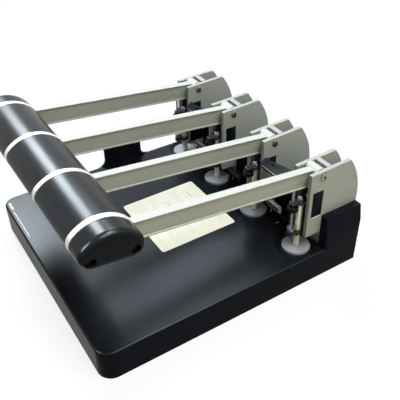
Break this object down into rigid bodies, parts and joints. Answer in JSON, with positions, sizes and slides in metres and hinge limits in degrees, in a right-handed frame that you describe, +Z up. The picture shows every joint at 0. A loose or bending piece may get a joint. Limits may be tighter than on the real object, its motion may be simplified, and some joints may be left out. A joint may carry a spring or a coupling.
{
  "type": "four-hole paper punch",
  "caption": "Desk lever punch: a wide D-section handle on I-section arms drives hollow punches, in cast brackets on a flat base, down onto cutting discs along the paper slot.",
  "frame": {"origin": "on the table, under the middle of the base", "axes": "+X to the user's right along the row of punches, +Y to the rear, away from the user, +Z up"},
  "size_m": [0.292, 0.328, 0.1774],
  "materials": {
    "body_black": "fine satin texture",
    "handle_black": "satin",
    "knob_black": "satin, ribbed",
    "rubber": "matt",
    "cast_alloy": "satin silver paint over the casting",
    "bright_alloy": "smooth bright",
    "steel": "ground",
    "dark_steel": "black oxide",
    "graphite": "satin",
    "disc_grey": "matt",
    "bronze": "sintered"
  },
  "bodies": {
    "base": {"base_cover": "body_black", "bottom_plate": "dark_steel", "feet": "rubber", "bed_beam": "steel", "bracket_1": "cast_alloy", "bracket_2": "cast_alloy", "bracket_3": "cast_alloy", "bracket_4": "cast_alloy", "bracket_screws": "steel", "pivot_bolts": "steel", "disc_1": "disc_grey", "disc_2": "disc_grey", "disc_3": "disc_grey", "disc_4": "disc_grey", "guide_1": "dark_steel", "guide_2": "dark_steel", "guide_3": "dark_steel", "guide_4": "dark_steel", "stop_bar_1": "body_black", "stop_bar_2": "body_black", "stop_bar_3": "body_black", "stop_rail_1": "bright_alloy", "stop_rail_2": "bright_alloy", "stop_rail_3": "bright_alloy", "tie_plate_1": "graphite", "tie_plate_2": "graphite", "window_covers": "knob_black"},
    "lever": {"arm_1": "cast_alloy", "arm_2": "cast_alloy", "arm_3": "cast_alloy", "arm_4": "cast_alloy", "pivot_bushes": "bronze", "cross_pins": "steel", "ring_1": "bright_alloy", "ring_2": "bright_alloy", "ring_3": "bright_alloy", "ring_4": "bright_alloy", "grip_1": "handle_black", "grip_2": "handle_black", "grip_3": "handle_black", "cap_left": "handle_black", "cap_right": "handle_black", "tie_rods": "steel"},
    "punch_unit_1": {"holder_1": "dark_steel", "punch_1": "steel"},
    "punch_unit_2": {"holder_2": "dark_steel", "punch_2": "steel"},
    "punch_unit_3": {"holder_3": "dark_steel", "punch_3": "steel"},
    "punch_unit_4": {"holder_4": "dark_steel", "punch_4": "steel"},
    "depth_stop_1": {"knob_1": "knob_black", "stop_screw_1": "steel"},
    "depth_stop_2": {"knob_2": "knob_black", "stop_screw_2": "steel"},
    "depth_stop_3": {"knob_3": "knob_black", "stop_screw_3": "steel"},
    "depth_stop_4": {"knob_4": "knob_black", "stop_screw_4": "steel"}
  },
  "joints": [
    {"name": "lever_hinge", "type": "hinge", "parent": "base", "child": "lever", "pos_m": [0, 0.1065, 0.1315], "axis": [-1, 0, 0], "range_deg": [0, 45]},
    {"name": "punch_slide_1", "type": "slide", "parent": "base", "child": "punch_unit_1", "axis": [0, 0, 1], "range_m": [0, 0.01103]},
    {"name": "punch_slide_2", "type": "slide", "parent": "base", "child": "punch_unit_2", "axis": [0, 0, 1], "range_m": [0, 0.01103]},
    {"name": "punch_slide_3", "type": "slide", "parent": "base", "child": "punch_unit_3", "axis": [0, 0, 1], "range_m": [0, 0.01103]},
    {"name": "punch_slide_4", "type": "slide", "parent": "base", "child": "punch_unit_4", "axis": [0, 0, 1], "range_m": [0, 0.01103]},
    {"name": "depth_turn_1", "type": "hinge", "parent": "punch_unit_1", "child": "depth_stop_1", "pos_m": [0.12, 0.0804, 0.092], "axis": [0, 0, 1], "continuous": true},
    {"name": "depth_turn_2", "type": "hinge", "parent": "punch_unit_2", "child": "depth_stop_2", "pos_m": [0.04, 0.0804, 0.092], "axis": [0, 0, 1], "continuous": true},
    {"name": "depth_turn_3", "type": "hinge", "parent": "punch_unit_3", "child": "depth_stop_3", "pos_m": [-0.04, 0.0804, 0.092], "axis": [0, 0, 1], "continuous": true},
    {"name": "depth_turn_4", "type": "hinge", "parent": "punch_unit_4", "child": "depth_stop_4", "pos_m": [-0.12, 0.0804, 0.092], "axis": [0, 0, 1], "continuous": true}
  ],
  "couplings": [
    {"joint": "punch_slide_1", "follows": "lever_hinge", "m_per_rad": 0.014029},
    {"joint": "punch_slide_2", "follows": "lever_hinge", "m_per_rad": 0.014029},
    {"joint": "punch_slide_3", "follows": "lever_hinge", "m_per_rad": 0.014029},
    {"joint": "punch_slide_4", "follows": "lever_hinge", "m_per_rad": 0.014029}
  ]
}
